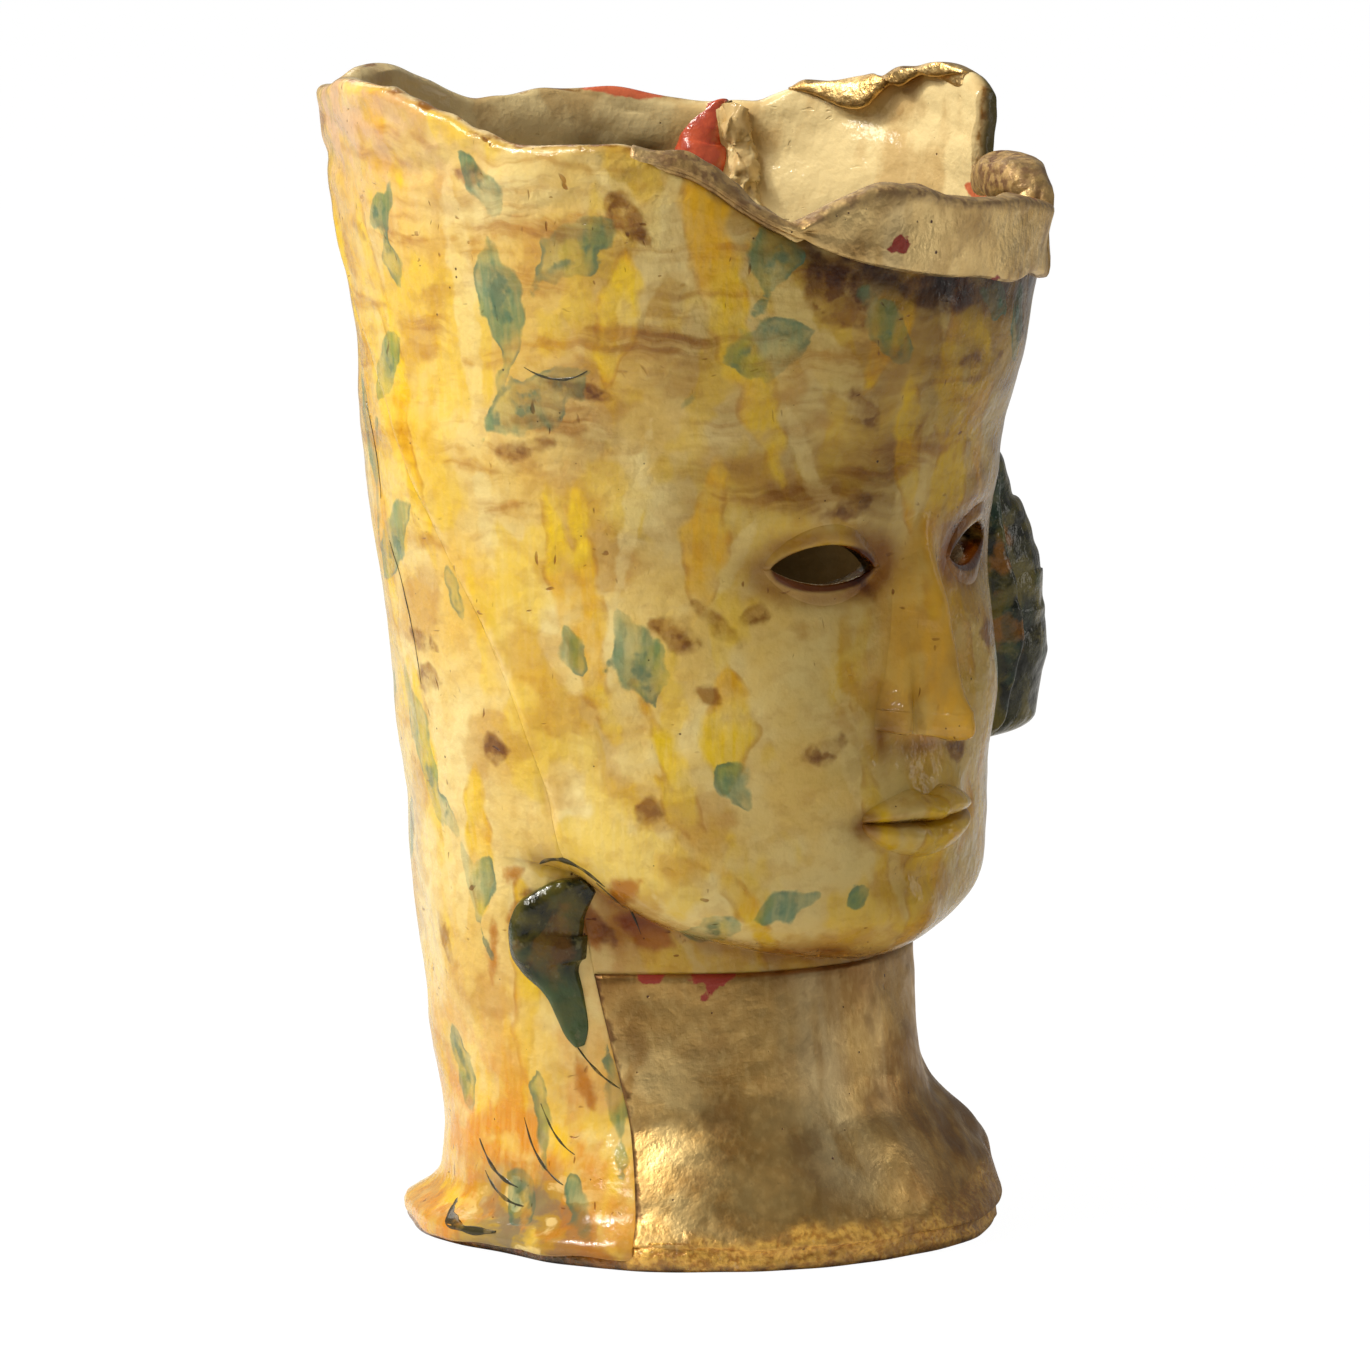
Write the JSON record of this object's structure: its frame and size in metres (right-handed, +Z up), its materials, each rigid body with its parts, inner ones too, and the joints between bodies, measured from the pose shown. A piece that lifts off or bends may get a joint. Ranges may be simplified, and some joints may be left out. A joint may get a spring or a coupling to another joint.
{
  "type": "ceramic sculpture vase",
  "caption": "Hand-built stoneware vase in the form of a head: flared open mouth with a torn rim, cut-through eyes, gilded neck and rim band, flat round foot.",
  "frame": {"origin": "centre of the flat underside of the floor slab", "axes": "+Z up out of the mouth of the vase, -Y the way the face looks, +X towards the high ear"},
  "size_m": [0.2311, 0.2225, 0.3482],
  "materials": {
    "yellow_glaze": "glossy cream-yellow glaze with yellow, green and brown washes",
    "olive_glaze": "glossy yellow-ochre glaze, darker and greener away from the light",
    "dark_green_glaze": "glossy near-black green glaze",
    "red_glaze": "glossy red glaze",
    "gold_lustre": "worn gold lustre over glaze, satin, with pinholes and dark red ground",
    "raw_edge": "thinly washed clay edge, satin, speckled brown"
  },
  "bodies": {
    "root": {"base_slab": "raw_edge", "neck_slab": "gold_lustre", "back_slab_left": "yellow_glaze", "back_slab_right": "yellow_glaze", "face_slab": "yellow_glaze", "nose": "olive_glaze", "upper_lip": "olive_glaze", "lower_lip": "olive_glaze", "right_upper_lid": "olive_glaze", "right_lower_lid": "olive_glaze", "left_upper_lid": "olive_glaze", "left_lower_lid": "olive_glaze", "right_ear": "dark_green_glaze", "left_ear": "dark_green_glaze", "rim_fold_front": "gold_lustre", "rim_scroll": "gold_lustre", "rear_rim_roll": "gold_lustre", "seam_fillet": "red_glaze", "seam_ridge": "yellow_glaze"}
  },
  "joints": []
}
